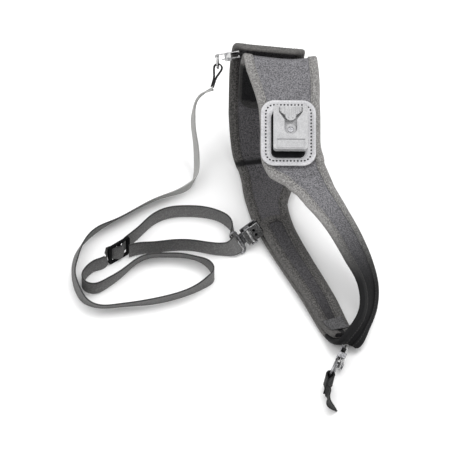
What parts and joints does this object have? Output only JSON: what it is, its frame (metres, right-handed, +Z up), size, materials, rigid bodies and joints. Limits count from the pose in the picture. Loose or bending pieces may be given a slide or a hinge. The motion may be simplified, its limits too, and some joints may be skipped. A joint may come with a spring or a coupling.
{
  "type": "shoulder harness",
  "caption": "One-shoulder padded harness loop with a quick-release dock, toothed metal clips and a long webbing chest strap through a tri-glide.",
  "frame": {"origin": "centre of the base of the bounding box of the padded loop and its clips, without the free chest strap and its tri-glide, on the surface that it stands on", "axes": "+Z up; +Y from the lower end of the loop to its crest; +X towards the wearer's outer side, away from the chest strap"},
  "size_m": [0.3217, 0.3898, 0.1572],
  "materials": {
    "pad_fabric": "heather grey brushed laminate over foam",
    "binding_tape": "warm grey woven binding with stitching",
    "lining": "near-black looped lining",
    "webbing": "dark grey flat woven webbing",
    "dock_flange": "pale grey moulded sewing flange",
    "dock_moulding": "pale silver grey moulding",
    "dark_plastic": "black moulding",
    "bright_metal": "nickel plated steel",
    "spring_steel": "plain steel"
  },
  "bodies": {
    "harness": {"front_panel": "pad_fabric", "front_binding": "binding_tape", "underarm_panel": "pad_fabric", "underarm_binding": "binding_tape", "back_panel": "pad_fabric", "back_binding": "binding_tape", "hook_lining": "lining", "end_keeper": "pad_fabric", "dock_flange": "dock_flange", "dock_base": "dark_plastic", "dock_body": "dock_moulding", "dock_lever_pin": "spring_steel", "dock_seat": "bright_metal", "dock_screw": "bright_metal", "chest_strap": "webbing", "leg_strap": "webbing", "tri_glide": "dark_plastic", "crest_clip_frame": "bright_metal", "crest_clip_pin": "spring_steel", "crest_clip_jaw_pad": "dark_plastic", "crest_clip_tab": "webbing", "side_clip_frame": "bright_metal", "side_clip_pin": "spring_steel", "side_clip_jaw_pad": "dark_plastic", "side_clip_tab": "webbing", "lower_clip_frame": "bright_metal", "lower_clip_pin": "spring_steel", "lower_clip_jaw_pad": "dark_plastic", "lower_clip_tab": "webbing"},
    "dock_release": {"dock_lever": "dock_moulding", "dock_lever_spring": "spring_steel"},
    "crest_lever": {"crest_clip_lever": "bright_metal"},
    "side_lever": {"side_clip_lever": "bright_metal"},
    "lower_lever": {"lower_clip_lever": "bright_metal"},
    "crest_bail": {"crest_clip_bail": "bright_metal", "crest_strap_ring": "webbing"},
    "side_bail": {"side_clip_bail": "bright_metal"},
    "lower_bail": {"lower_clip_bail": "bright_metal", "lower_strap_ring": "webbing"}
  },
  "joints": [
    {"name": "dock_release_press", "type": "hinge", "parent": "harness", "child": "dock_release", "pos_m": [-0.005, 0.10681, 0.1375], "axis": [0.9998, 0.0075, -0.0189], "range_deg": [0, 9], "stiffness_Nm_per_rad": 0.05, "springref_deg": -8.59},
    {"name": "crest_lever_open", "type": "hinge", "parent": "harness", "child": "crest_lever", "pos_m": [-0.06958, 0.17292, 0.13973], "axis": [0.0362, 0.6408, -0.7669], "range_deg": [0, 28], "stiffness_Nm_per_rad": 0.02, "springref_deg": -17.19},
    {"name": "side_lever_open", "type": "hinge", "parent": "harness", "child": "side_lever", "pos_m": [-0.04644, 0.03283, 0.01965], "axis": [0.4742, -0.2861, -0.8326], "range_deg": [0, 28], "stiffness_Nm_per_rad": 0.02, "springref_deg": -17.19},
    {"name": "lower_lever_open", "type": "hinge", "parent": "harness", "child": "lower_lever", "pos_m": [0.04787, -0.13208, 0.01448], "axis": [-0.136, 0.0739, -0.9879], "range_deg": [0, 28], "stiffness_Nm_per_rad": 0.02, "springref_deg": -17.19},
    {"name": "crest_bail_swing", "type": "hinge", "parent": "harness", "child": "crest_bail", "pos_m": [-0.0816, 0.175, 0.1409], "axis": [-0.0362, -0.6408, 0.7669], "range_deg": [-12, 12]},
    {"name": "side_bail_swing", "type": "hinge", "parent": "harness", "child": "side_bail", "pos_m": [-0.0572, 0.03, 0.0145], "axis": [-0.4742, 0.2861, 0.8326], "range_deg": [-6, 6]},
    {"name": "lower_bail_swing", "type": "hinge", "parent": "harness", "child": "lower_bail", "pos_m": [0.0398, -0.1413, 0.0149], "axis": [0.136, -0.0739, 0.9879], "range_deg": [-12, 12]}
  ]
}
